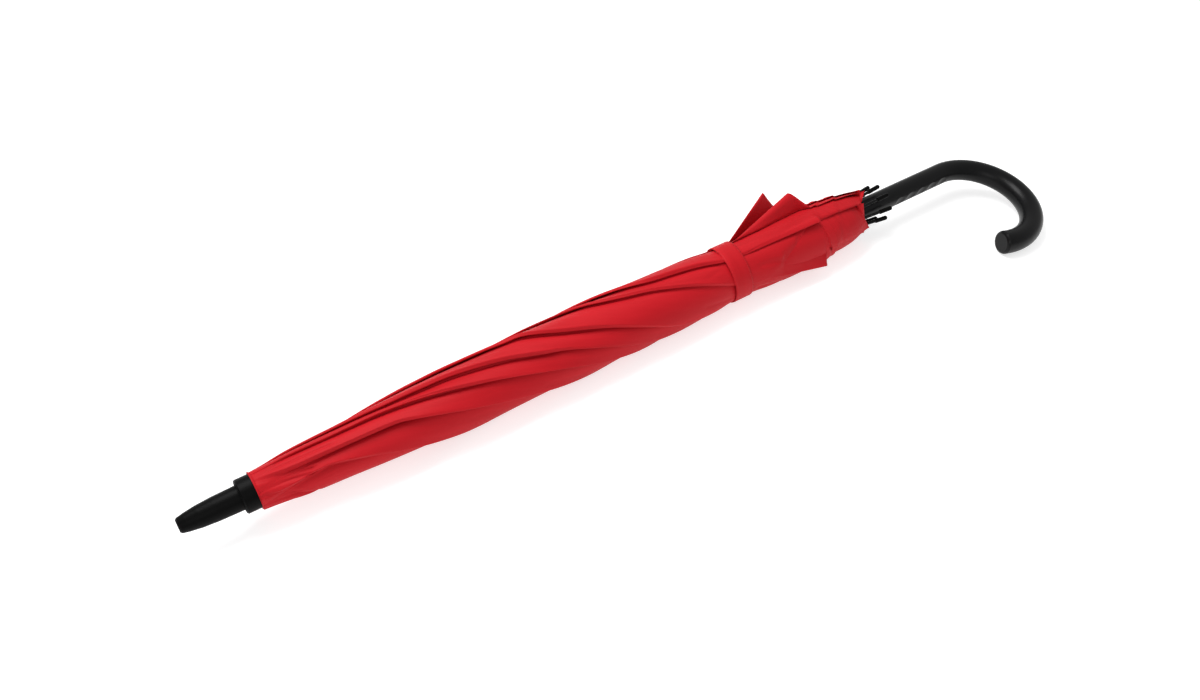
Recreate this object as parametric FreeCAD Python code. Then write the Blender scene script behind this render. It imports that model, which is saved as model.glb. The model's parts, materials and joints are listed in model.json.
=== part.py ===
import FreeCAD, Part
import math
import os

# Stick umbrella, closed and rolled, lying on a flat floor. Millimetres, +Z up, +X along the shaft from
# the ferrule to the handle. Pieces are drawn about the shaft's own axis, with x = 0 at the pivots of the
# ribs in the crown. They are then all moved together, so that the row's origin is the centre of the
# bottom of the whole umbrella's box.

Vector = FreeCAD.Vector
X_AXIS = Vector(1, 0, 0)
ORIGIN = Vector(0, 0, 0)

# canopy frame
rib_count = 8
rib_length = 635.0          # crown pivot to the end of the tip, a 25 inch umbrella
first_rib_deg = 33.75       # direction of rib 1 around the shaft, from +Y towards +Z
pivot_radius = 8.0          # the ring of pivots in the crown and in the runner
stretcher_length = 270.0    # the same as from crown pivot to rib joint, so the runner moves straight
open_deg = 72.0
rib_radius = 1.5
rib_clear = 4.5             # from the ring of pivots out to the closed rib, so that it clears the stretcher
rib_offset = pivot_radius + rib_clear
rib_flare = 50.0            # the last length of the rib leans out, clear of the handle
rib_flare_rise = 5.2
rib_bend_x = rib_length - rib_flare
rib_tip_offset = rib_offset + rib_flare_rise
stretcher_radius = 1.25
eye_radius = 1.7
eye_width = 2.0
slot_width = 2.5
wire_radius = 0.6
rivet_radius = 0.8
tip_radius = 2.2
tip_length = 15.0

# shaft
shaft_radius = 5.0
shaft_wall = 0.8
shaft_start = -46.0
shaft_in_grip = 90.0
ferrule_end_x = -66.0
ferrule_tip_radius = 6.0
ferrule_base_radius = 9.75
collar_radius = 13.45
collar_front_x = -21.2
collar_back_x = -10.4
notch_rim = 2.4             # the hubs stand out this far past the ring of pivots
notch_radius = pivot_radius + notch_rim
run_gap = 0.06              # radial clearance of the runner on the shaft

# runner
runner_notch_front = 3.4
runner_notch_length = 9.5
runner_length = 53.0
runner_radius = 8.4

# handle
grip_cover = 35.0           # the ribs reach this far over the grip
grip_gap = 0.9              # between the closed runner and the grip
runner_end_closed = 2 * stretcher_length - runner_notch_front + runner_notch_length + runner_length
grip_start_x = round(max(runner_end_closed + grip_gap, rib_length - grip_cover), 6)
grip_length = 129.0
grip_radius = 10.5
shaft_end = grip_start_x + shaft_in_grip
crook_start_x = grip_start_x + grip_length
crook_radius = 54.4
crook_arc_deg = 199.0
crook_mid_radius = 11.0
crook_end_radius = 11.6
crook_tail = 5.0
groove_pitch = 15.8
groove_depth = 1.0
groove_length = 13.0
groove_count = 5
groove_from_start = 59.0
first_groove_x = grip_start_x + groove_from_start

# rolled canopy: (x, radius past the line of the ribs) of the roll, for a hem at hem_x
hem_x = rib_length - 14.0
roll_shape = [(7, 3.6), (14, 4.9), (35, 6.1), (57, 7.4), (85, 9.9), (117, 12.5), (149, 14.1),
              (199, 14.9), (234, 15.7), (289, 16.2), (328, 15.9), (368, 16.2), (395, 15.5),
              (412, 14.4), (424, 13.1), (456, 13.1), (470, 14.7), (500, 16.1), (540, 16.1),
              (570, 15.4), (595, 13.5), (621, 9.2)]
roll = [(7 + (x - 7) * (hem_x - 7) / 614.0, rib_offset + r) for x, r in roll_shape]
cloth_thickness = 1.2
gore_gap_deg = 0.8
rest_height = roll[9][1]    # the shaft's height over the floor, with the roll lying on it

# strap
strap_x = (roll[14][0] + roll[15][0]) / 2
strap_width = 20.0
strap_lean_deg = 13.0
strap_gap = 0.35            # between the waist of the roll and the strap
strap_thickness = 0.8
strap_inner = roll[14][1] + strap_gap
strap_outer = strap_inner + strap_thickness


def cyl(radius, length, base, direction):
    return Part.makeCylinder(radius, length, Vector(*base), Vector(*direction))


def turned(points):
    """A solid of revolution about the shaft's axis from (x, radius) points."""
    corners = [Vector(x, r, 0) for x, r in points]
    face = Part.Face(Part.makePolygon(corners + [corners[0]]))
    return face.revolve(ORIGIN, X_AXIS, 360)


def plate(points, width):
    """A flat plate, centred on z = 0, from (x, y) points."""
    corners = [Vector(x, y, -width / 2) for x, y in points]
    face = Part.Face(Part.makePolygon(corners + [corners[0]]))
    return face.extrude(Vector(0, 0, width))


def around(shape, degrees):
    copy = shape.copy()
    copy.rotate(ORIGIN, X_AXIS, degrees)
    return copy


def rod_between(a, b, radius):
    """A round rod in the z = 0 plane from (x, y) to (x, y)."""
    run = Vector(b[0] - a[0], b[1] - a[1], 0)
    return Part.makeCylinder(radius, run.Length, Vector(a[0], a[1], 0), run)


def eye(x, y, hole):
    """The outline of a pivot eye and the hole that is cut in it."""
    disc = Part.makeCylinder(eye_radius, eye_width, Vector(x, y, -eye_width / 2))
    bore = Part.makeCylinder(hole, eye_width + 2, Vector(x, y, -eye_width / 2 - 1))
    return disc, bore


def wire_ring(x, radius):
    """An eight-sided ring of wire whose straight sides are the pivots."""
    half = pivot_radius * math.tan(math.pi / rib_count)
    side = cyl(radius, 2 * half, (x, pivot_radius, -half), (0, 0, 1))
    corner = Part.makeSphere(radius, Vector(x, pivot_radius, half))
    sides = [around(side, first_rib_deg + k * 360.0 / rib_count) for k in range(rib_count)]
    corners = [around(corner, first_rib_deg + k * 360.0 / rib_count) for k in range(rib_count)]
    return sides[0].multiFuse(sides[1:] + corners).removeSplitter()


def notch(x_solid, x_mouth, x_pivot, bore):
    """A notched hub: slots that are open outwards and at x_mouth, and a channel for the wire."""
    low, high = min(x_solid, x_mouth), max(x_solid, x_mouth)
    body = turned([(low, bore), (high, bore), (high, notch_radius), (low, notch_radius)])
    way = 1 if x_mouth > x_solid else -1
    back = x_pivot - way * 2.5
    first, last = min(back, x_mouth + way), max(back, x_mouth + way)
    slot = Part.makeBox(last - first, 8, slot_width, Vector(first, pivot_radius - 2.0, -slot_width / 2))
    slots = [around(slot, first_rib_deg + k * 360.0 / rib_count) for k in range(rib_count)]
    return body.cut(slots).cut(wire_ring(x_pivot, wire_radius + 0.02))


def make_rib():
    disc, bore = eye(0, pivot_radius, wire_radius + 0.05)
    lever = plate([(-0.5, pivot_radius - 1.5), (1.5, pivot_radius - 1.3), (12.0, rib_offset - 1.2),
                   (12.0, rib_offset + 1.2), (9.5, rib_offset + 1.2), (-0.8, pivot_radius + 1.4)],
                  eye_width)
    rod = rod_between((9.5, rib_offset), (rib_bend_x, rib_offset), rib_radius)
    bend = Part.makeSphere(rib_radius, Vector(rib_bend_x, rib_offset, 0))
    lean = Vector(rib_length + 2 - rib_bend_x, rib_tip_offset - rib_offset, 0)
    flare_end = Vector(rib_bend_x, rib_offset, 0) + lean * ((lean.Length - 4.0) / lean.Length)
    flare = rod_between((rib_bend_x, rib_offset), (flare_end.x, flare_end.y), rib_radius)
    return disc.multiFuse([lever, rod, bend, flare]).cut(bore).removeSplitter()


def make_tip():
    lean = Vector(rib_length + 2 - rib_bend_x, rib_tip_offset - rib_offset, 0)
    way = lean * (1 / lean.Length)
    end = Vector(rib_bend_x, rib_offset, 0) + lean
    start = end - way * tip_length
    cap = Part.makeCylinder(tip_radius, tip_length - tip_radius, start, way)
    ball = Part.makeSphere(tip_radius, end - way * tip_radius)
    hole = Part.makeCylinder(rib_radius, tip_length - 4.0, start, way)
    return cap.fuse(ball).cut(hole).removeSplitter()


def make_joint():
    """The sheet clip that saddles the rib, and the rivet that the stretcher turns on."""
    x = stretcher_length
    cheek = [(x - 5, rib_offset + 2.2), (x - 5, rib_offset - 1.0), (x - 2.2, pivot_radius - 1.2),
             (x - 1.0, pivot_radius - 1.9), (x + 1.0, pivot_radius - 1.9),
             (x + 2.2, pivot_radius - 1.2), (x + 5, rib_offset - 1.0), (x + 5, rib_offset + 2.2)]
    block = plate(cheek, 2 * (rib_radius + 0.6))
    inside = Part.makeBox(12, 12, 2 * rib_radius,
                          Vector(x - 6, pivot_radius - 4.5, -rib_radius))
    room = inside.cut(Part.makeBox(14, 5, 4, Vector(x - 7, rib_offset + rib_radius, -2)))
    rivet = Part.makeCylinder(rivet_radius, 4.2, Vector(x, pivot_radius, -2.1))
    heads = [Part.makeCylinder(1.3, 0.35, Vector(x, pivot_radius, z)) for z in (-2.35, 2.0)]
    return block.cut(room).multiFuse([rivet] + heads).removeSplitter()


def make_stretcher():
    a, b = stretcher_length, 2 * stretcher_length
    disc_a, bore_a = eye(a, pivot_radius, rivet_radius + 0.05)
    disc_b, bore_b = eye(b, pivot_radius, wire_radius + 0.05)
    neck_a = plate([(a, pivot_radius - 1.2), (a + 6, pivot_radius - 1.0),
                    (a + 6, pivot_radius + 1.0), (a, pivot_radius + 1.2)], eye_width)
    neck_b = plate([(b - 6, pivot_radius - 1.0), (b, pivot_radius - 1.2),
                    (b, pivot_radius + 1.2), (b - 6, pivot_radius + 1.0)], eye_width)
    rod = rod_between((a + 4.5, pivot_radius), (b - 4.6, pivot_radius), stretcher_radius)
    return disc_a.multiFuse([disc_b, neck_a, neck_b, rod]).cut([bore_a, bore_b]).removeSplitter()


def make_gore(flaps):
    """One eighth of the rolled cloth, on its rib, with the loose corners that hang from it."""
    outer = [Vector(x, r, 0) for x, r in roll]
    inner = [Vector(x, r - cloth_thickness, 0) for x, r in roll]
    ring = outer + inner[::-1]
    face = Part.Face(Part.makePolygon(ring + [ring[0]]))
    span = 360.0 / rib_count - 2 * gore_gap_deg
    skin = around(face.revolve(ORIGIN, X_AXIS, span), -span / 2)
    tab = Part.makeBox(7, 2.8, 5, Vector(hem_x - 8, rib_tip_offset + 0.6, -2.5))
    solids = [tab]
    for turn, points in flaps:
        solids.append(around(plate(points, 2.4), turn))
    return skin.multiFuse(solids).removeSplitter()


def make_catch(x_nose, long_way, nose_top):
    """A bent spring in the shaft: an arm from its hinge to the nose that stands out of the slot."""
    x_hinge = x_nose - long_way * 26
    ramp = x_nose + long_way * 1.0
    arm = [(x_hinge, 3.2), (x_hinge, 2.4), (x_nose + long_way * 9, 2.4), (x_nose + long_way * 9, 3.2),
           (x_nose + long_way * 8, 3.2), (x_nose + long_way * 8, nose_top), (ramp, 3.2)]
    disc = Part.makeCylinder(0.8, 2.0, Vector(x_hinge, 2.8, -1))
    return plate(arm, 2.0).fuse(disc).removeSplitter()


def make_crook():
    """Grip and crook in the z = 0 plane, opening towards -Y, as one smooth loft of round sections."""
    stations = [(grip_start_x, 0, 0, grip_radius - 0.8), (grip_start_x + 1.2, 0, 0, grip_radius)]
    stations += [(x, 0, 0, grip_radius) for x in [crook_start_x - d for d in (104, 79, 54, 29, 11, 0)]]
    steps = 22
    for i in range(1, steps + 1):
        t = math.radians(crook_arc_deg) * i / steps
        s = i / steps
        if s < 0.5:
            r = grip_radius + (crook_mid_radius - grip_radius) * s / 0.5
        else:
            r = crook_mid_radius + (crook_end_radius - crook_mid_radius) * (s - 0.5) / 0.5
        x = crook_start_x + crook_radius * math.sin(t)
        y = crook_radius * (math.cos(t) - 1)
        stations.append((x, y, t, r))
    x, y, t, r = stations[-1]
    for far, less in ((crook_tail - 2.4, 0.0), (crook_tail - 0.7, 0.9), (crook_tail, 2.4)):
        stations.append((x + far * math.cos(t), y - far * math.sin(t), t, r - less))
    wires = []
    for x, y, t, r in stations:
        ring = Part.makeCircle(r, Vector(0, 0, 0), X_AXIS)
        wire = Part.Wire([ring])
        wire.rotate(ORIGIN, Vector(0, 0, 1), -math.degrees(t))
        wire.translate(Vector(x, y, 0))
        wires.append(wire)
    straight = Part.makeLoft(wires[:2], True, True)
    grip = Part.makeCylinder(grip_radius, crook_start_x - grip_start_x - 1.2,
                             Vector(grip_start_x + 1.2, 0, 0), X_AXIS)
    crook = Part.makeLoft(wires[7:-2], True, False)
    end = Part.makeLoft(wires[-3:], True, True)
    solid = straight.multiFuse([grip, crook, end])
    ball = groove_length * groove_length / (8 * groove_depth) + groove_depth / 2
    for k in range(groove_count):
        centre = Vector(first_groove_x + k * groove_pitch, -(grip_radius - groove_depth + ball), -20)
        solid = solid.cut(Part.makeCylinder(ball, 40, centre))
    bore = cyl(shaft_radius, shaft_end - grip_start_x + 2, (grip_start_x - 1, 0, 0), (1, 0, 0))
    return solid.cut(bore)


def make_strap():
    ring = turned([(strap_x - 30, strap_inner), (strap_x + 30, strap_inner),
                   (strap_x + 30, strap_outer), (strap_x - 30, strap_outer)])
    slab = Part.makeBox(strap_width, 80, 80, Vector(-strap_width / 2, -40, -40))
    slab.rotate(ORIGIN, Vector(0, math.cos(math.radians(strap_turn)),
                               math.sin(math.radians(strap_turn))), strap_lean_deg)
    slab.translate(Vector(strap_x, 0, 0))
    return ring.common(slab)


crook_lean = math.asin((rest_height - crook_end_radius) / (2 * crook_radius))
strap_turn = 40.0
nodes = {}

# shaft and its fittings
bore = shaft_radius - shaft_wall
tube = turned([(shaft_start, bore), (shaft_end, bore), (shaft_end, shaft_radius),
               (shaft_start, shaft_radius)])
runner_open_x = 2 * stretcher_length * math.cos(math.radians(open_deg))
runner_end_open = runner_open_x - runner_notch_front + runner_notch_length + runner_length
bottom_nose_x = 2 * stretcher_length + 24.0
top_nose_x = runner_end_open + 0.4
stop_x = runner_open_x - runner_notch_front - 1.9
catch_deg = 101.25
slots = [Part.makeBox(11.5, 8, 2.6, Vector(bottom_nose_x - 9.6, 0, -1.3)),
         Part.makeBox(11.5, 8, 2.6, Vector(top_nose_x - 1.0, 0, -1.3))]
holes = [cyl(0.8, 24, (-6.5, 0, -12), (0, 0, 1)), cyl(1.0, 24, (stop_x, 0, -12), (0, 0, 1))]
nodes["shaft_tube"] = tube.cut([around(s, catch_deg) for s in slots] + holes)
nodes["stop_pin"] = cyl(1.0, 13.0, (stop_x, 0, -6.5), (0, 0, 1))
nodes["crown_pin"] = cyl(0.8, 20.4, (-6.5, 0, -10.2), (0, 0, 1))
nodes["crown_notch"] = notch(-9.2, 4.0, 0.0, shaft_radius).cut(holes[0])
nodes["crown_wire"] = wire_ring(0.0, wire_radius)
nodes["canopy_rosette"] = turned([(collar_back_x, shaft_radius), (-9.2, shaft_radius), (-9.2, 14.4),
                                  (-9.8, 14.8), (collar_back_x, 14.8)])
nodes["ferrule_collar"] = turned([
    (collar_front_x, shaft_radius), (collar_back_x, shaft_radius), (collar_back_x, collar_radius),
    (collar_front_x + 1.0, collar_radius), (collar_front_x, collar_radius - 0.9),
    (collar_front_x, collar_radius - 1.6), (collar_front_x + 2.2, collar_radius - 2.2),
    (collar_front_x + 2.2, ferrule_base_radius + 0.2), (collar_front_x, ferrule_base_radius)])
nodes["ferrule"] = turned([
    (shaft_start, 0), (shaft_start, shaft_radius), (collar_front_x, shaft_radius),
    (collar_front_x, ferrule_base_radius), (-39.0, 9.3), (-51.0, 8.45), (-60.0, 7.1),
    (-64.8, ferrule_tip_radius), (ferrule_end_x, ferrule_tip_radius - 1.2), (ferrule_end_x, 0)])

# handle, turned so that its open side faces -Y and its end rests on the floor
nodes["crook_handle"] = around(make_crook(), math.degrees(crook_lean))

# spring catches that hold the runner closed and open
nodes["bottom_catch"] = around(make_catch(bottom_nose_x, -1, 8.0), catch_deg)
nodes["top_catch"] = around(make_catch(top_nose_x + 9.0, -1, 8.0), catch_deg)

# runner, which is drawn where it stands when closed
pivot_x = 2 * stretcher_length
slide = shaft_radius + run_gap
notch_low = pivot_x - runner_notch_front
notch_high = notch_low + runner_notch_length
nodes["runner_notch"] = notch(notch_high, notch_low, pivot_x, slide)
nodes["runner_wire"] = wire_ring(pivot_x, wire_radius)
sleeve = turned([(notch_high, slide), (notch_high + runner_length, slide),
                 (notch_high + runner_length, runner_radius), (notch_high + 4, runner_radius),
                 (notch_high, runner_radius + 1.4)])
window = Part.makeBox(10.4, 12, 3.0, Vector(bottom_nose_x - 9.0, 0, -1.5))
nodes["runner_sleeve"] = sleeve.cut(around(window, catch_deg))

# ribs, tips, joints, stretchers and the rolled cloth
def on_roll(points):
    """Corners of a loose flap, given for the roll as it is, moved with the roll's hem and radius."""
    return [(hem_x - (621 - x), rib_offset + r) for x, r in points]


ear_back = on_roll([(455, 12.1), (585, 13.5), (560, 17.5), (513, 44.5), (506, 42.5), (462, 17.5)])
ear_front = on_roll([(455, 12.1), (592, 12.9), (570, 20.5), (538, 39.5), (528, 40.0), (468, 19.5)])
low_flap = on_roll([(500, 14.9), (611, 9.9), (606, 17.5), (556, 31.5), (546, 30.5)])
loose = {1: [(4.0, ear_back)], 2: [(-19.0, ear_front)], 5: [(-19.0, low_flap)]}
for k in range(1, rib_count + 1):
    turn = first_rib_deg + (k - 1) * 360.0 / rib_count
    nodes["rib_%d" % k] = around(make_rib(), turn)
    nodes["rib_tip_%d" % k] = around(make_tip(), turn)
    nodes["rib_joint_%d" % k] = around(make_joint(), turn)
    nodes["stretcher_%d" % k] = around(make_stretcher(), turn)
    nodes["canopy_gore_%d" % k] = around(make_gore(loose.get(k, [])), turn)

nodes["closing_strap"] = make_strap()
snap_cap = cyl(5.0, 1.6, (strap_x, strap_outer - 0.5, 0), (0, 1, 0))
snap = snap_cap.cut(turned([(strap_x - 9, 0), (strap_x + 9, 0), (strap_x + 9, strap_outer),
                            (strap_x - 9, strap_outer)]))
nodes["strap_snap"] = around(snap, -2.0)

# place everything: box centre at x = y = 0, lowest point at z = 0
low = Vector(1e9, 1e9, 1e9)
high = Vector(-1e9, -1e9, -1e9)
for shape in nodes.values():
    box = shape.optimalBoundingBox(False, False)
    low = Vector(min(low.x, box.XMin), min(low.y, box.YMin), min(low.z, box.ZMin))
    high = Vector(max(high.x, box.XMax), max(high.y, box.YMax), max(high.z, box.ZMax))
shift = Vector(-(low.x + high.x) / 2, -(low.y + high.y) / 2, -low.z)

os.makedirs("parts", exist_ok=True)
for name, shape in nodes.items():
    shape.translate(shift)
    shape.exportStep("parts/%s.step" % name)
    if not shape.isValid() or len(shape.Solids) != 1:
        print("CHECK", name, "valid", shape.isValid(), "solids", len(shape.Solids))
print("nodes", len(nodes), "shift", [round(v, 4) for v in shift])
print("box", [round(v, 2) for v in (high - low)], "open runner", round(runner_open_x, 3))
print("crook lean", round(math.degrees(crook_lean), 3), "stop", round(stop_x, 2))
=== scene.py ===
import json
import math
import bpy
import numpy as np
from mathutils import Matrix, Vector

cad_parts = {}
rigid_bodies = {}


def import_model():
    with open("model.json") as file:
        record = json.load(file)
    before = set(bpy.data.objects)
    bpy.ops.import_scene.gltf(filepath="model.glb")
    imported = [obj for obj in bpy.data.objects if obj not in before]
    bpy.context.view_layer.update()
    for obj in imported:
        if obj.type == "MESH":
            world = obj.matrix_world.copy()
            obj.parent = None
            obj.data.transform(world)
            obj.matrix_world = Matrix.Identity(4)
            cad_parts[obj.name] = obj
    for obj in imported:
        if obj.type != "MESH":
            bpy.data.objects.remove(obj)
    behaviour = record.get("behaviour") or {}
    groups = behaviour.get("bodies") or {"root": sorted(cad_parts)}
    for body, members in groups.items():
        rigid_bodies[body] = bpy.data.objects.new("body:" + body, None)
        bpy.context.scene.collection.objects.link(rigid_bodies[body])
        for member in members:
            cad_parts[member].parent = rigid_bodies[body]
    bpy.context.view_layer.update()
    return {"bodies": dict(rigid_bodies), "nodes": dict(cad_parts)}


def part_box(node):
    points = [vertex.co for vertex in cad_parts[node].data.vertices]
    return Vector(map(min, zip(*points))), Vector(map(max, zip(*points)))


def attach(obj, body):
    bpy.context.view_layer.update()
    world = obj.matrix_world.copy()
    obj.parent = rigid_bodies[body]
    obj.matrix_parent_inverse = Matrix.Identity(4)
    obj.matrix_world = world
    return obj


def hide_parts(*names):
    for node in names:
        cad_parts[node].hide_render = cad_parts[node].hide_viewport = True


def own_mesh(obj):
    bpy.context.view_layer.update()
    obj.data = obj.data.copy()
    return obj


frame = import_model()

# The shaft's own line, about which everything is made: x = 0 at the wire in the crown that the ribs turn on.
wire_low, wire_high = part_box("crown_wire")
shaft_line = (Vector(wire_low) + Vector(wire_high)) / 2


# CAMERA
# It stands above the ferrule half and looks along the umbrella and down on it.
side_way = Vector((0.8188, -0.5740, 0.0096))
up_way = Vector((0.3876, 0.5651, 0.7283))
back_way = side_way.cross(up_way).normalized()
up_way = back_way.cross(side_way).normalized()
camera = bpy.data.objects.new("camera", bpy.data.cameras.new("camera"))
camera.data.lens = 28.88
camera.data.sensor_width = 36
camera.data.clip_start = 0.01
turned = Matrix((side_way.normalized(), up_way, back_way)).transposed().to_4x4()
camera.matrix_world = Matrix.Translation(shaft_line + Vector((-0.0613, -0.4987, 0.5539))) @ turned
bpy.context.collection.objects.link(camera)
bpy.context.scene.camera = camera
bpy.context.scene.view_settings.view_transform = "Standard"


# STUDIO
# A white tent round the umbrella: a pale dome, a broad soft box over the far side that lights the tops of
# the folds, a weak one on the near side, and a white floor that glows a little.
def linear(code):
    """An sRGB hex colour as the linear colour that a shader takes."""
    parts = [int(code[i:i + 2], 16) / 255 for i in (1, 3, 5)]
    return tuple(c / 12.92 if c < 0.04045 else ((c + 0.055) / 1.055) ** 2.4 for c in parts) + (1,)


def add(tree, kind, x=0, y=0, **values):
    """Adds a node: _name is a property, iN is input N, and any other name is the input of that name."""
    node = tree.nodes.new(kind)
    node.location = (x, y)
    for name, value in values.items():
        if name[0] == "_":
            setattr(node, name[1:], value)
            continue
        socket = node.inputs[int(name[1:]) if name[1:].isdigit() else name.replace("_", " ")]
        if isinstance(value, bpy.types.NodeSocket):
            tree.links.new(value, socket)
        else:
            socket.default_value = value
    return node


world = bpy.data.worlds.new("white tent")
bpy.context.scene.world = world
world.use_nodes = True
t = world.node_tree
t.nodes.clear()
coords = add(t, "ShaderNodeTexCoord", -1000, 0)
height = add(t, "ShaderNodeSeparateXYZ", -800, 0, i0=coords.outputs["Generated"])
dome = add(t, "ShaderNodeMapRange", -600, 0, Value=height.outputs["Z"], From_Min=-0.1, From_Max=0.9,
           To_Min=0.50, To_Max=0.66)
lit = add(t, "ShaderNodeBackground", -300, 0, Color=(1, 1, 1, 1), Strength=dome.outputs[0])
seen = add(t, "ShaderNodeBackground", -300, 200, Color=(1, 1, 1, 1), Strength=1.0)
ray = add(t, "ShaderNodeLightPath", -600, 300)
mix = add(t, "ShaderNodeMixShader", 0, 0, i0=ray.outputs["Is Camera Ray"], i1=lit.outputs[0],
          i2=seen.outputs[0])
add(t, "ShaderNodeOutputWorld", 200, 0, Surface=mix.outputs[0])

for name, place, size, power in (("top soft box", (0.15, 0.45, 1.1), 0.7, 15),
                                 ("near soft box", (-0.3, -0.9, 0.8), 0.7, 3.0)):
    light = bpy.data.objects.new(name, bpy.data.lights.new(name, "AREA"))
    light.data.size = size
    light.data.energy = power
    light.location = shaft_line + Vector(place)
    way = shaft_line + Vector((0.36, 0, 0)) - light.location
    light.rotation_euler = way.to_track_quat("-Z", "Y").to_euler()
    bpy.context.collection.objects.link(light)

mesh = bpy.data.meshes.new("floor")
mesh.from_pydata([(-5, -5, 0), (5, -5, 0), (5, 5, 0), (-5, 5, 0)], [], [(0, 1, 2, 3)])
floor = bpy.data.objects.new("floor", mesh)
bpy.context.collection.objects.link(floor)
paper = bpy.data.materials.new("white paper sweep")
paper.use_nodes = True
t = paper.node_tree
t.nodes.clear()
matte = add(t, "ShaderNodeBsdfDiffuse", 0, 100, Color=(0.6, 0.6, 0.6, 1))
glow = add(t, "ShaderNodeEmission", 0, -100, Color=(1, 1, 1, 1), Strength=0.62)
both = add(t, "ShaderNodeAddShader", 200, 0, i0=matte.outputs[0], i1=glow.outputs[0])
add(t, "ShaderNodeOutputMaterial", 400, 0, Surface=both.outputs[0])
mesh.materials.append(paper)
# An open umbrella is held up, so the floor is lower once the runner has left its closed place.
lower = floor.constraints.new("TRANSFORM")
lower.target = frame["bodies"]["runner"]
lower.map_to_z_from = "X"
lower.from_min_x, lower.from_max_x = -0.373, 0.0
lower.to_min_z, lower.to_max_z = -0.62, 0.0


# SHAFT, FERRULE AND CROWN
# A plated steel tube. The ferrule, its collar and the notched crown hub are black moulded nylon, which is
# semi-matte with a very fine spark-eroded grain; they are pushed on and held by a pin.
def black(name, code, roughness, grain, depth, gloss=0.12):
    """A black whose fine grain is given in mm and is fixed to the piece."""
    m = bpy.data.materials.new(name)
    m.use_nodes = True
    t = m.node_tree
    t.nodes.clear()
    place = add(t, "ShaderNodeTexCoord", -800, 0)
    noise = add(t, "ShaderNodeTexNoise", -600, 0, Vector=place.outputs["Object"], Scale=1000 / grain,
                Detail=2.0)
    bump = add(t, "ShaderNodeBump", -300, -200, Strength=0.25, Distance=depth / 1000,
               Height=noise.outputs[0])
    wear = add(t, "ShaderNodeMapRange", -300, 100, Value=noise.outputs[0], To_Min=roughness - 0.04,
               To_Max=roughness + 0.04)
    skin = add(t, "ShaderNodeBsdfPrincipled", 0, 0, Base_Color=linear(code),
               Roughness=wear.outputs[0], Normal=bump.outputs[0])
    skin.inputs["Specular IOR Level"].default_value = gloss
    add(t, "ShaderNodeOutputMaterial", 300, 0, Surface=skin.outputs[0])
    return m


def dress(node, material):
    """Gives a CAD node its finish."""
    piece = frame["nodes"][node]
    piece.data.materials.clear()
    piece.data.materials.append(material)


def metal(name, code, roughness):
    """A bare metal with fine drawing lines that run along the piece."""
    m = bpy.data.materials.new(name)
    m.use_nodes = True
    t = m.node_tree
    skin = t.nodes["Principled BSDF"]
    place = add(t, "ShaderNodeTexCoord", -900, 0)
    drawn = add(t, "ShaderNodeMapping", -700, 0, Vector=place.outputs["Object"], Scale=(40, 2500, 2500))
    lines = add(t, "ShaderNodeTexNoise", -500, 0, Vector=drawn.outputs[0], Scale=1.0, Detail=2.0)
    rough = add(t, "ShaderNodeMapRange", -300, 0, Value=lines.outputs[0], To_Min=roughness - 0.06,
                To_Max=roughness + 0.08)
    t.links.new(rough.outputs[0], skin.inputs["Roughness"])
    skin.inputs["Base Color"].default_value = linear(code)
    skin.inputs["Metallic"].default_value = 1.0
    return m


nylon = black("black moulded nylon", "#030303", 0.45, 0.9, 0.008, 0.06)
steel = metal("zinc plated steel", "#B9BBBD", 0.32)
dress("shaft_tube", steel)
for node in ("ferrule", "ferrule_collar", "crown_notch"):
    dress(node, nylon)
for node in ("crown_wire", "crown_pin", "stop_pin", "top_catch", "bottom_catch"):
    dress(node, steel)


# RUNNER
# The notched head and sleeve are one moulding of the same nylon, with a ring of steel wire in its notches.
dress("runner_sleeve", nylon)
dress("runner_notch", nylon)
dress("runner_wire", steel)


# RIBS AND STRETCHERS
# The ribs are black pultruded glass-fibre rod, glossy and smooth, with moulded tips that the cloth is sewn
# to. The stretchers are enamelled steel, and a bent clip with a rivet joins each pair.
glass_rod = black("black glass fibre rod", "#0D0D0D", 0.28, 1.5, 0.006)
enamel = black("black enamelled steel", "#111111", 0.3, 2.0, 0.008)
for k in range(1, 9):
    dress(f"rib_{k}", glass_rod)
    dress(f"rib_tip_{k}", nylon)
    dress(f"stretcher_{k}", enamel)
    dress(f"rib_joint_{k}", steel)


# CANOPY CLOTH
# A close plain weave of polyester, piece-dyed red, calendered so that it has a slight sheen. The threads,
# 0.35 mm apart, run with the cut of each gore, and long soft pulls run from the crown to the hem.
fabric = bpy.data.materials.new("red polyester pongee")
fabric.use_nodes = True
t = fabric.node_tree
t.nodes.clear()
uv = add(t, "ShaderNodeUVMap", -1400, 0, _uv_map="UVMap")
threads = add(t, "ShaderNodeVectorMath", -1200, 0, _operation="SCALE", i0=uv.outputs[0],
              Scale=2 * math.pi / 0.0007)
split = add(t, "ShaderNodeSeparateXYZ", -1000, 0, i0=threads.outputs[0])
warp = add(t, "ShaderNodeMath", -800, 100, _operation="SINE", i0=split.outputs["X"])
weft = add(t, "ShaderNodeMath", -800, -100, _operation="SINE", i0=split.outputs["Y"])
weave = add(t, "ShaderNodeMath", -600, 0, _operation="MULTIPLY", i0=warp.outputs[0], i1=weft.outputs[0])
stretch = add(t, "ShaderNodeMapping", -1200, -300, Vector=uv.outputs[0], Scale=(90, 9, 1))
pulls = add(t, "ShaderNodeTexNoise", -1000, -300, Vector=stretch.outputs[0], Scale=1.0, Detail=3.0)
fine = add(t, "ShaderNodeBump", -400, -100, Strength=0.12, Distance=0.00005, Height=weave.outputs[0])
soft = add(t, "ShaderNodeBump", -200, -200, Strength=0.35, Distance=0.0012, Height=pulls.outputs[0],
           Normal=fine.outputs[0])
# painted shade and light: the red is painted a little darker in the hollows of the pulls and lighter on
# their ridges, following the bump
painted_pull_shade = add(t, "ShaderNodeMapRange", -800, -500, Value=pulls.outputs[0], From_Min=0.3, From_Max=0.7)
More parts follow.
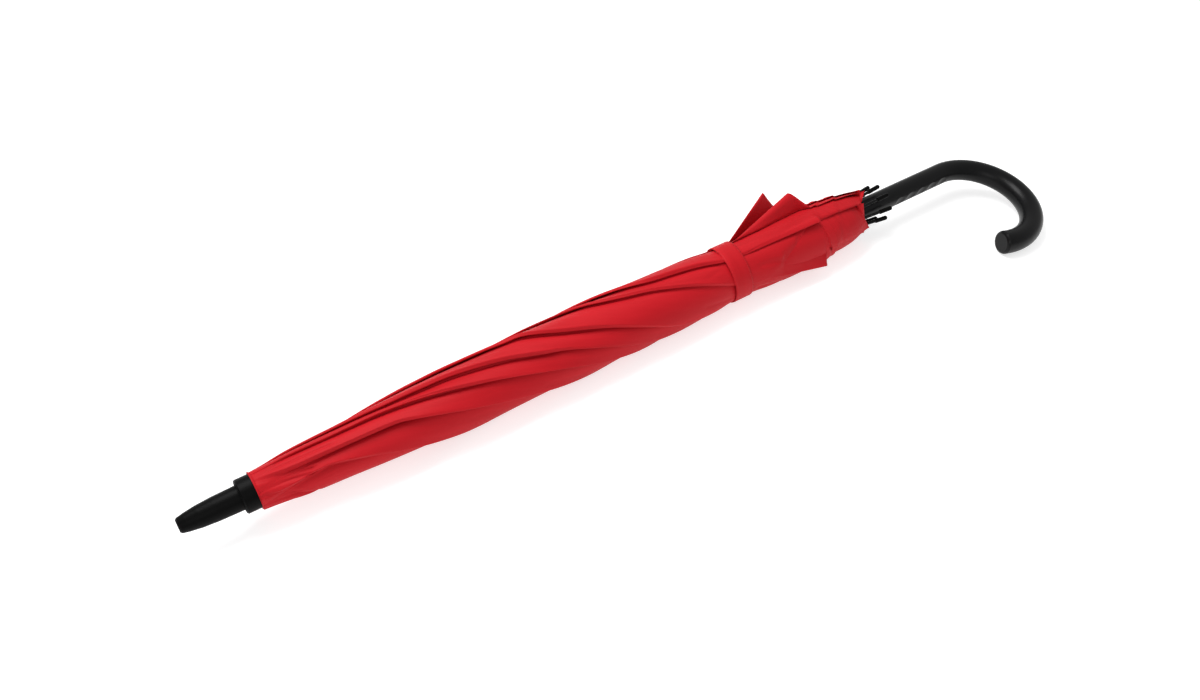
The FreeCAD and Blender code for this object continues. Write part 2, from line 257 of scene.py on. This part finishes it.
red = add(t, "ShaderNodeMix", -500, -500, _data_type="RGBA", Factor=painted_pull_shade.outputs[0],
          A=linear("#A80D17"), B=linear("#B4131D"))
cloth = add(t, "ShaderNodeBsdfPrincipled", 0, 0, Base_Color=red.outputs["Result"], Roughness=0.6,
            Normal=soft.outputs[0])
cloth.inputs["Specular IOR Level"].default_value = 0.13
cloth.inputs["Sheen Weight"].default_value = 0.04
cloth.inputs["Sheen Roughness"].default_value = 0.4
cloth.inputs["Sheen Tint"].default_value = linear("#FF6A60")
add(t, "ShaderNodeOutputMaterial", 300, 0, Surface=cloth.outputs[0])

dress("canopy_rosette", fabric)


# CANOPY GORES
# Eight triangles of cloth, sewn to one another along the ribs. Each is folded down its middle, and all
# eight double folds are wound the same way round the closed frame, each over the next, so that the
# folded edges run round the roll in long spirals. Lengths here are mm, and angles are degrees round the
# shaft from +Y towards +Z. Hems and folds past the strap are loose.
def curve(points, blur=7):
    """A smooth line through (x, value) points."""
    px, py = zip(*points)
    grid = np.arange(-80.0, 721.0)
    line = np.interp(grid, px, py)
    bell = np.exp(-0.5 * (np.arange(-3 * blur, 3 * blur + 1) / blur) ** 2)
    line = np.convolve(np.pad(line, 3 * blur, mode="edge"), bell / bell.sum(), "valid")
    return lambda x: np.interp(x, grid, line)


# the cut of a gore: it starts at the collar, and its hem is cut in a curve from the seams in to the fold
gore_start, hem_at_fold, hem_at_seam = -10, 536, 621
hem_drop = hem_at_seam - hem_at_fold
hem_power = 1.15

# the radius of the roll, and the radius of the seams inside it, which lie on the ribs
outside = curve([(-12, 14.5), (7, 16.0), (14, 17.2), (35, 18.6), (57, 19.9), (85, 22.4), (117, 25.0),
                 (149, 26.6), (199, 27.4), (234, 28.2), (289, 28.6), (328, 28.4), (368, 28.6),
                 (395, 28.0), (412, 26.9), (424, 25.2), (456, 25.2), (470, 26.8), (500, 28.2),
                 (540, 28.6), (570, 28.7), (595, 27.4), (621, 23.6)], 5)
inside = curve([(-12, 14.1), (20, 14.5), (560, 14.6), (585, 15.0), (625, 18.9)], 5)

# where the folded edge of each gore lies round the roll
folds = [
    [(-10, 106), (10, 121), (20, 124), (60, 126), (100, 129), (120, 141), (132, 148), (150, 158),
     (180, 174), (210, 189), (260, 218), (340, 268), (424, 318), (450, 326), (600, 330)],
    [(-10, 74), (20, 79.5), (48, 85), (75, 89), (88, 91), (105, 97), (128, 107), (148, 117), (168, 127),
     (188, 137), (214, 151), (240, 165), (300, 203), (360, 245), (424, 286), (450, 292), (600, 296)],
    [(-10, 38), (50, 62), (76, 71), (96, 79), (113, 83), (128, 86), (148, 89), (163, 94), (183, 102),
     (200, 110), (215, 120), (232, 130), (245, 136), (265, 150), (282, 162), (295, 172), (340, 208),
     (424, 250), (450, 256), (600, 262)],
    [(-10, -5), (60, 25), (100, 42), (180, 58), (218, 67.5), (228, 82), (240, 95.5), (250, 105),
     (265, 116), (280, 126), (295, 137), (310, 150), (325, 162), (340, 175), (355, 188), (380, 203),
     (424, 220), (450, 226), (600, 230)],
    [(-10, -50), (100, 0), (200, 26), (250, 44), (275, 58), (288, 70), (298, 80), (308, 87), (320, 94),
     (335, 101), (345, 106), (360, 116), (380, 129), (400, 144), (415, 156), (424, 165), (450, 183),
     (550, 192)],
    [(-10, -95), (100, -42), (200, -10), (260, 30), (290, 46), (310, 58), (325, 68), (338, 77), (350, 84),
     (370, 90), (390, 96), (405, 102), (421, 111), (450, 114), (535, 116), (600, 118)],
    [(-10, -140), (100, -98), (200, -58), (300, -2), (380, 30), (424, 44), (450, 64), (480, 76),
     (600, 82)],
    [(-10, -188), (41, -208), (66, -193), (85, -182), (100, -172), (200, -112), (300, -50), (400, 6),
     (424, 24), (450, 46), (480, 60), (600, 64)],
]
fold_at = [curve(f, 4) for f in folds]

# how far each folded edge stands off the roll
lifts = [
    [(-10, 0.4), (5, 1.6), (20, 2.2), (90, 2.6), (108, 1.6), (125, 0.5), (600, 0.3)],
    [(-10, 0.3), (60, 0.8), (100, 1.2), (160, 1.2), (190, 0.5), (600, 0.3)],
    [(-10, 0.3), (90, 0.8), (130, 1.6), (180, 2.4), (230, 2.0), (245, 0.6), (600, 0.3)],
    [(-10, 0.3), (210, 0.8), (222, 2.4), (270, 2.2), (300, 1.0), (340, 0.5), (600, 0.3)],
    [(-10, 0.3), (260, 1.6), (330, 1.8), (390, 1.2), (420, 0.6), (600, 0.5)],
    [(-10, 0.3), (280, 1.6), (350, 2.0), (415, 2.2), (440, 0.3), (600, 0.3)],
    [(-10, 0.3), (600, 0.3)],
    [(-10, 0.4), (30, 2.0), (60, 1.8), (75, 0.4), (600, 0.3)],
]
lift_at = [curve(f, 5) for f in lifts]

# how deep the cloth sinks in along each folded edge, on the side that the edge lies over
sinks = [
    [(-5, 0.6), (8, 2.8), (95, 2.8), (120, 0.8), (160, 0.1), (600, 0.0)],
    [(20, 0.6), (90, 2.0), (165, 2.2), (190, 0.8), (220, 0.1), (600, 0.0)],
    [(60, 0.6), (120, 1.6), (180, 2.6), (235, 2.2), (262, 0.4), (600, 0.0)],
    [(190, 0.8), (218, 2.2), (300, 2.2), (340, 0.8), (370, 0.2), (600, 0.0)],
    [(230, 0.8), (290, 1.8), (390, 1.8), (424, 0.8), (450, 0.0), (600, 0.0)],
    [(230, 0.4), (340, 1.6), (352, 2.4), (405, 2.4), (424, 1.2), (440, 0.4), (456, 1.8), (530, 2.0),
     (545, 0.0), (600, 0.0)],
    [(300, 0.5), (424, 0.5), (450, 0.0), (600, 0.0)],
    [(0, 0.8), (12, 2.6), (58, 2.6), (80, 0.6), (100, 0.0), (600, 0.0)],
]
sink_at = [curve(f, 5) for f in sinks]

# small creases: points (x, angle), depth and width
creases = [
    ([(-8, 112), (10, 127), (32, 142)], 0.8, 1.6),
    ([(-8, 138), (15, 146), (40, 158)], 0.5, 2.2),
    ([(-8, 158), (6, 170), (16, 191)], 0.8, 2.0),
    ([(-4, 186), (14, 197), (30, 221)], 0.9, 1.8),
    ([(-8, 92), (18, 101), (52, 108)], 0.4, 2.0),
    ([(-8, 210), (20, 226), (50, 236)], 0.6, 2.0),
    ([(-8, 250), (20, 262), (46, 268)], 0.6, 2.0),
    ([(-8, 300), (20, 306), (46, 318)], 0.6, 2.0),
    ([(-8, 20), (20, 30), (46, 42)], 0.6, 2.0),
    ([(482, 166), (486, 152), (503, 138), (511, 123)], 0.9, 3.2),
    ([(456, 150), (470, 153), (486, 160)], 0.6, 2.4),
    ([(456, 205), (470, 210), (490, 222)], 0.7, 2.4),
    ([(400, 128), (412, 124), (424, 122)], 0.4, 2.2),
    ([(388, 178), (405, 186), (424, 196)], 0.4, 2.4),
    ([(456, 280), (475, 286), (500, 300)], 0.7, 2.6),
    ([(456, 340), (480, 344), (510, 350)], 0.7, 2.6),
    ([(556, 100), (580, 104), (604, 98)], 0.5, 2.6),
    ([(566, 150), (585, 146), (600, 150)], 0.5, 2.4),
    ([(560, 230), (585, 236), (606, 230)], 0.6, 2.6),
    ([(560, 300), (585, 306), (606, 300)], 0.6, 2.6),
    ([(560, 20), (585, 26), (606, 20)], 0.6, 2.6),
]


def round_the_roll(points):
    """A value that is given at some angles and joined up all round."""
    px, py = zip(*points)
    return lambda angle: np.interp(np.mod(angle, 360), px, py)


# the two hems that show on the roll past the strap, and how far short of 621 the last one stops
first_hem = round_the_roll([(0, 556), (30, 562), (60, 560), (90, 543), (115, 537), (165, 540), (210, 548),
                            (280, 553), (360, 556)])
second_hem = round_the_roll([(0, 575), (61, 581), (95, 568), (133, 561), (185, 553), (240, 560),
                             (300, 570), (360, 575)])
last_hem_short = round_the_roll([(0, 12), (45, 7), (80, 5), (118, 20), (165, 21), (190, 18), (230, 14),
                                 (300, 16), (360, 12)])


def smooth(v):
    """An even step from 0 to 1 as v goes from 0 to 1."""
    v = np.clip(v, 0, 1)
    return v * v * (3 - 2 * v)


def relief(x, angle, radius):
    """How far the outside of the roll stands off its even shape at (x, angle)."""
    off = np.zeros(np.broadcast(x, angle).shape)
    for k in range(8):
        gap = np.mod(angle - fold_at[k](x) + 180, 360) - 180
        gap = np.radians(gap) * radius
        off -= 1.15 * sink_at[k](x) * np.exp(-np.maximum(gap, 0) / 3.6) * smooth((gap + 2.5) / 2.5)
    for points, depth, width in creases:
        fade = 8 if points[-1][1] < points[0][1] else 6
        ends = (smooth((x - points[0][0] + fade / 2) / fade)
                * smooth((points[-1][0] - x + fade / 2) / fade))
        gap = np.mod(angle - np.interp(x, *zip(*points)) + 180, 360) - 180
        near = 1 - smooth((x - 80) / 90)             # the pleats are sharper towards the collar
        across_it = np.radians(gap) * radius / (width * (1 - 0.4 * near))
        off -= (1.7 + 1.2 * near) * depth * ends * np.exp(-across_it ** 2)
    for at in (first_hem(angle), second_hem(angle)):
        off += 0.5 * np.exp(-((x - at + 1.5) / 2.0) ** 2) - 1.3 * smooth((x - at) / 1.2)
    return off


def half_width(x):
    """From the fold to the seam, across the cloth."""
    return 5.8 + 0.375 * (x - gore_start)


def wound(k, side, x, q):
    """Where the cloth of gore k lies at x, at q from its folded edge. side is 1 for the outer layer and -1
    for the inner one."""
    half = half_width(x)
    gone = np.clip((x - hem_at_fold) / hem_drop, 0, 1) ** (1 / hem_power) * half
    big, small = outside(x), inside(x)
    depth = np.clip((q - gone) / np.maximum(half - gone, 1.0), 0, 1)
    radius = big - (big - small) * depth
    here = [fold_at[j](x) for j in range(8)]
    mean = sum(here[j] + 45 * j for j in range(8)) / 8
    lead = mean - 45 * k
    turn = np.degrees((half - gone) / (big - small) * np.log(big / small))
    swept = np.log(big / radius) / np.log(big / small)
    angle = lead - (turn if side == 1 else turn - 45) * swept
    place = (mean - angle) / 45
    low = np.floor(place)
    pick = np.stack([here[j] - (mean - 45 * j) for j in range(8)])
    a = np.take_along_axis(pick, low.astype(int)[None] % 8, 0)[0]
    b = np.take_along_axis(pick, (low.astype(int)[None] + 1) % 8, 0)[0]
    angle = angle + (a + (b - a) * (place - low)) * (1 - depth)
    lip = np.clip(0.3 * (big - small) * 45 / np.maximum(turn, 60), 0.2, 1.1)
    edge = lip * np.sqrt(1 - (1 - np.clip(q / (1.2 * lip), 0, 1)) ** 2)
    raised = lift_at[k](x) * np.exp(-q / 7)
    x = x - last_hem_short(angle) * smooth((x - 560) / (hem_at_seam - 560))
    radius = radius + raised + side * edge * np.exp(-q / 30)
    sunk = radius + relief(x, angle, big) * np.clip(1 - turn * swept / 150, 0, 1)
    radius = np.maximum(sunk, small + 0.2 * (radius - small))
    radius = radius - 0.9 * np.cos(np.radians(angle - 50)) * (1 - depth)
    turned = np.radians(angle)
    return np.stack(np.broadcast_arrays(x, radius * np.cos(turned), radius * np.sin(turned)), -1)


# The loose folds past the strap. Each is the part of a gore past a line on the cloth that starts at x0 on
# the folded edge and slopes in from it. The edge's end flies out to tip (x, radius, angle), and the two
# layers stand apart by 2 * fat at the hem.
flaps = {4: {"x0": 462, "slope": 0.40, "tip": (536, 36.6, 204), "fat": 0.7},
         5: {"x0": 448, "slope": 0.10, "tip": (536, 31.4, 119), "fat": 1.9},
         6: {"x0": 452, "slope": 0.25, "tip": (530, 44.5, 53), "fat": 4.3},
         7: {"x0": 452, "slope": 0.42, "tip": (518, 55.4, 33), "fat": 1.2}}

along = np.interp(np.linspace(0, 1, 230), [0, 0.12, 0.62, 1], [0, 0.1, 0.72, 1])[:, None]
across = (np.arange(79) / 78) ** 2.0
hem = hem_at_fold + hem_drop * across ** hem_power
floor_level = -shaft_line.z * 1000 + 0.3


def gore_layer(k, side):
    """One layer of gore k, from the folded edge in to the seam on the rib, as rows of points."""
    x = gore_start + along * (hem[None, :] - gore_start)
    q = across[None, :] * half_width(x)
    points = wound(k, side, x, q)
    if k in flaps:
        flap = flaps[k]
        x0, tip = flap["x0"], flap["tip"]
        start = wound(k, 0, np.array([[float(x0)]]), np.array([[0.0]]))[0, 0]
        turned = math.radians(tip[2])
        end = np.array([tip[0], tip[1] * math.cos(turned), tip[1] * math.sin(turned)])
        width = np.maximum(flap["slope"] * (x - x0), 1e-3)
        root = wound(k, side, x, np.maximum(width, q))
        share = (x - x0) / (hem_at_fold - x0)
        edge = start + (end - start) * share[..., None]
        far = wound(k, 0, np.array([[540.0]]), np.array([[flap["slope"] * (540 - x0)]]))[0, 0]
        stand = np.cross(end - start, far - start)
        stand = stand / np.linalg.norm(stand)
        if stand @ np.array([0, far[1], far[2]]) < 0:
            stand = -stand
        free = np.clip(1 - q / width, 0, 1)
        fat = flap["fat"] * np.clip(share, 0, 1.2) ** 0.6 + 1e-3
        swell = np.sqrt(1 - (1 - np.clip(q / (1.2 * fat), 0, 1)) ** 2) * np.minimum(free * 1.6, 1) ** 0.8
        loose = root + (edge - root) * free[..., None] + (side * fat * swell)[..., None] * stand
        points = np.where((q < width)[..., None] & (x > x0)[..., None], loose, points)
    deep = points[..., 2] - floor_level
    pressed = floor_level + 2 * np.exp((np.minimum(deep, 2) - 2) / 2)
    points[..., 2] = np.where(deep < 2, pressed, points[..., 2])
    return x, points


def gore(k):
    """Joins the two layers at the fold into one sheet, with the cloth's own cut as its UV map."""
    (x, outer), (_, inner) = gore_layer(k, 1), gore_layer(k, -1)
    inner[:, 0] = outer[:, 0] = (outer[:, 0] + inner[:, 0]) / 2
    both = np.concatenate([outer[:, ::-1], inner[:, 1:]], 1)
    flat_x = np.concatenate([x[:, ::-1], x[:, 1:]], 1)
    flat_y = np.concatenate([-across[::-1], across[1:]])[None, :] * half_width(flat_x)
    n, m = both.shape[:2]
    mesh = bpy.data.meshes.new(f"gore {k + 1}")
    index = np.arange(n * m).reshape(n, m)
    faces = np.stack([index[:-1, :-1], index[:-1, 1:], index[1:, 1:], index[1:, :-1]], -1).reshape(-1, 4)
    mesh.from_pydata((both.reshape(-1, 3) / 1000 + np.array(shaft_line)).tolist(), [], faces.tolist())
    cut = np.stack([flat_y, flat_x], -1).reshape(-1, 2) / 1000
    layer = mesh.uv_layers.new(name="UVMap")
    loops = np.zeros(len(mesh.loops), int)
    mesh.loops.foreach_get("vertex_index", loops)
    layer.data.foreach_set("uv", cut[loops].astype(np.float32).ravel())
    mesh.polygons.foreach_set("use_smooth", np.ones(len(mesh.polygons), bool))
    mesh.materials.append(fabric)
    piece = bpy.data.objects.new(f"canopy_gore.{k + 1}", mesh)
    bpy.context.collection.objects.link(piece)
    return piece


# When the umbrella opens, each gore is drawn out flat between the two ribs that it is sewn to. A helper on
# each rib shrinks the roll's cross-section to the rib's own line as the runner goes up, and the bones in
# each gore follow the helpers of its two ribs. The middle of a gore runs nearer to the crown than its
# seams do, so its own helpers are drawn longer. The cloth at the collar follows a helper on the shaft.
# Closed, none of this moves the cloth.
line_out = 0.0155          # how far the helpers' lines are from the shaft's line
flat = 0.012               # what is left of the cross-section when the umbrella is open
fold_longer = 1.074
line_tilt = 0.0073         # radians, so that the line is 4.5 mm further out at the hem
runner_way = -0.25         # the runner's way along the shaft, by the end of which the cloth is drawn out


def rib_way(rib):
    turned = math.radians(33.75 + 45 * (rib - 1))
    return Vector((0, math.cos(turned), math.sin(turned)))


def helper_at(name, place, body):
    """An empty that rides on a body."""
    helper = bpy.data.objects.new(name, None)
    helper.location = place
    bpy.context.collection.objects.link(helper)
    bpy.context.view_layer.update()
    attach(helper, body)
    return helper


helpers = {}
for rib in range(1, 9):
    for kind, longer in (("seam", 1.0), ("fold", fold_longer)):
        place = shaft_line + rib_way(rib) * line_out
        helper = helper_at(f"cloth_line.{kind}.{rib}", place, f"rib_{rib}")
        shrink = helper.constraints.new("TRANSFORM")
        shrink.target = frame["bodies"]["runner"]
        shrink.owner_space = "LOCAL"
        shrink.map_to = "SCALE"
        shrink.map_to_x_from = shrink.map_to_y_from = shrink.map_to_z_from = "X"
        shrink.from_min_x, shrink.from_max_x = runner_way, 0.0
        shrink.to_min_x_scale, shrink.to_max_x_scale = longer, 1.0
        shrink.to_min_y_scale, shrink.to_max_y_scale = flat, 1.0
        shrink.to_min_z_scale, shrink.to_max_z_scale = flat, 1.0
        # the line is tilted outwards, to clear the flared end of the rib
        tilt = helper.constraints.new("TRANSFORM")
        tilt.target = frame["bodies"]["runner"]
        tilt.owner_space = "LOCAL"
        tilt.map_to = "ROTATION"
        tilt.map_to_x_from = tilt.map_to_y_from = tilt.map_to_z_from = "X"
        tilt.from_min_x, tilt.from_max_x = runner_way, 0.0
        tilt.to_min_y_rot = -line_tilt * rib_way(rib).z
        tilt.to_min_z_rot = line_tilt * rib_way(rib).y
        helpers[kind, rib] = helper
crown_helper = helper_at("cloth_line.crown", shaft_line, "shaft")


def new_bone(bones, name, place):
    """A bone that lies along the world's own axes at rest, as the helpers do."""
    bone = bones.edit_bones.new(name)
    bone.head = place
    bone.tail = bone.head + Vector((0, 0.05, 0))
    bone.roll = 0


def follow(holder, name, target):
    """The bone of that name moves, turns and scales as the target does."""
    holder.pose.bones[name].constraints.new("COPY_TRANSFORMS").target = target


def draw_out(piece, rib):
    """Bones that follow the ribs on each side of a gore, with the cloth shared between them."""
    other = rib % 8 + 1
    bones = bpy.data.armatures.new(f"cloth bones {rib}")
    holder = bpy.data.objects.new(f"cloth_bones.{rib}", bones)
    bpy.context.collection.objects.link(holder)
    bpy.context.view_layer.objects.active = holder
    bpy.ops.object.mode_set(mode="EDIT")
    pairs = [(kind, r) for kind in ("seam", "fold") for r in (rib, other)]
    for kind, r in pairs:
        new_bone(bones, f"{kind} {r}", shaft_line + rib_way(r) * line_out)
    new_bone(bones, "crown", shaft_line)
    bpy.ops.object.mode_set(mode="OBJECT")
    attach(holder, f"rib_{rib}")
    to_other = np.concatenate([0.5 - across[::-1] / 2, 0.5 + across[1:] / 2])
    to_seam = np.concatenate([across[::-1], across[1:]])
    # the cloth stays on the shaft over the first 5 mm from the collar, and is free 12 mm further on
    from_collar = along[:, 0] * 590
    held = 1 - smooth((from_collar - 5) / 12)
    for kind, r in pairs:
        follow(holder, f"{kind} {r}", helpers[kind, r])
        group = piece.vertex_groups.new(name=f"{kind} {r}")
        share = (to_other if r == other else 1 - to_other) * (to_seam if kind == "seam" else 1 - to_seam)
        for j, weight in enumerate(share):
            group.add([i * len(share) + j for i in range(len(held))], float(weight), "REPLACE")
            for i in np.flatnonzero(held):
                group.add([int(i) * len(share) + j], float(weight * (1 - held[i])), "REPLACE")
    follow(holder, "crown", crown_helper)
    group = piece.vertex_groups.new(name="crown")
    for i in np.flatnonzero(held):
        group.add([int(i) * len(share) + j for j in range(len(share))], float(held[i]), "REPLACE")
    pull = piece.modifiers.new("drawn out", "ARMATURE")
    pull.object = holder


sewn_to = [2, 1, 8, 7, 6, 5, 4, 3]     # the rib that each gore's outer layer is sewn to
for k in range(8):
    rib = sewn_to[k]
    piece = gore(k)
    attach(piece, f"rib_{rib}")
    draw_out(piece, rib)
    thick = piece.modifiers.new("cloth", "SOLIDIFY")
    thick.thickness = 0.0002
    thick.offset = 0
    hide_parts(f"canopy_gore_{rib}")


# CLOSING STRAP
# A tape of the same cloth, folded double, 20 mm wide, with both edges topstitched in red thread. It is sewn
# to the second rib's seam, goes round the roll and is held by a small nickel press stud at the back.
strap_middle, strap_radius = 440, 26.2
strap_turns = np.linspace(0, 2 * math.pi, 120, endpoint=False)
strap_across = np.linspace(-10, 10, 11)


def on_strap(turned, v, rise=0.0):
    """A point on the strap, v across it from its middle line, at an angle round the shaft in radians."""
    lean = -6.4 * math.cos(turned - math.radians(132))
    r = strap_radius + 0.18 * (1 - (v / 10) ** 4) - 0.9 * math.cos(turned - math.radians(50)) + rise
    return shaft_line + Vector((strap_middle + v + lean, r * math.cos(turned), r * math.sin(turned))) / 1000


m, n = len(strap_across), len(strap_turns)
mesh = bpy.data.meshes.new("closing strap")
mesh.from_pydata([on_strap(a, v) for a in strap_turns for v in strap_across], [],
                 [(j * m + i, ((j + 1) % n) * m + i, ((j + 1) % n) * m + i + 1, j * m + i + 1)
                  for j in range(n) for i in range(m - 1)])
layer = mesh.uv_layers.new(name="UVMap")
for loop in mesh.loops:
    j, i = divmod(loop.vertex_index, m)
    layer.data[loop.index].uv = (strap_across[i] / 1000, j * 0.00138)
mesh.polygons.foreach_set("use_smooth", np.ones(len(mesh.polygons), bool))
mesh.materials.append(fabric)
strap = bpy.data.objects.new("closing_strap.cloth", mesh)
bpy.context.collection.objects.link(strap)

# the topstitching: short stitches laid along two lines, 1.6 mm in from the edges of the tape
thread = bpy.data.materials.new("red sewing thread")
thread.use_nodes = True
t = thread.node_tree
skin = t.nodes["Principled BSDF"]
place = add(t, "ShaderNodeTexCoord", -700, 0)
twist = add(t, "ShaderNodeTexNoise", -500, 0, Vector=place.outputs["Object"], Scale=3000.0)
shade = add(t, "ShaderNodeMix", -250, 0, _data_type="RGBA", Factor=twist.outputs[0],
            A=linear("#A3141C"), B=linear("#C4262C"))
t.links.new(shade.outputs["Result"], skin.inputs["Base Color"])
skin.inputs["Roughness"].default_value = 0.6
skin.inputs["Specular IOR Level"].default_value = 0.2

mesh = bpy.data.meshes.new("stitch lines")
mesh.from_pydata([on_strap(a, v, 0.74) for v in (-8.4, 8.4) for a in strap_turns], [], [])
mesh.edges.add(2 * n)
mesh.edges.foreach_set("vertices", [i for line in range(2) for j in range(n)
                                    for i in (line * n + j, line * n + (j + 1) % n)])
stitches = bpy.data.objects.new("strap_stitches", mesh)
bpy.context.collection.objects.link(stitches)
t = bpy.data.node_groups.new("stitches along lines", "GeometryNodeTree")
t.interface.new_socket("Geometry", in_out="INPUT", socket_type="NodeSocketGeometry")
for name, value in (("Pitch", 0.0026), ("Stitch Length", 0.0019), ("Thread Radius", 0.00016)):
    socket = t.interface.new_socket(name, in_out="INPUT", socket_type="NodeSocketFloat")
    socket.default_value = value
t.interface.new_socket("Geometry", in_out="OUTPUT", socket_type="NodeSocketGeometry")
given = add(t, "NodeGroupInput", -900, 0)
line = add(t, "GeometryNodeMeshToCurve", -700, 0, Mesh=given.outputs["Geometry"])
spots = add(t, "GeometryNodeCurveToPoints", -500, 0, _mode="LENGTH", Curve=line.outputs[0],
            Length=given.outputs["Pitch"])
stitch = add(t, "GeometryNodeMeshCylinder", -500, -300, Vertices=6, Radius=given.outputs["Thread Radius"],
             Depth=given.outputs["Stitch Length"])
aim = add(t, "FunctionNodeAlignRotationToVector", -300, -150, _axis="Z", Vector=spots.outputs["Tangent"])
laid = add(t, "GeometryNodeInstanceOnPoints", -100, 0, Points=spots.outputs["Points"],
           Instance=stitch.outputs["Mesh"], Rotation=aim.outputs[0])
real = add(t, "GeometryNodeRealizeInstances", 100, 0, Geometry=laid.outputs[0])
finish = add(t, "GeometryNodeSetMaterial", 300, 0, Geometry=real.outputs[0], Material=thread)
out = add(t, "NodeGroupOutput", 500, 0)
t.links.new(finish.outputs[0], out.inputs[0])
sew = stitches.modifiers.new("sew", "NODES")
sew.node_group = t
laid_out = stitches.evaluated_get(bpy.context.evaluated_depsgraph_get())
made = bpy.data.meshes.new_from_object(laid_out)
stitches.modifiers.remove(sew)
stitches.data = made

thick = strap.modifiers.new("folded double", "SOLIDIFY")
thick.thickness = 0.0007
thick.offset = 1
for piece in (strap, stitches):
    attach(piece, "rib_2")
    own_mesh(piece)
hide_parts("closing_strap")
dress("strap_snap", metal("nickel plate", "#C9C5BE", 0.22))


# HANDLE
# Grip and crook are one hollow moulding of ABS with a soft semi-matte skin, pushed over the shaft's end and
# glued, with five shallow hollows for the fingers.
dress("crook_handle", black("black ABS, semi-matte", "#050506", 0.34, 1.1, 0.008, 0.16))
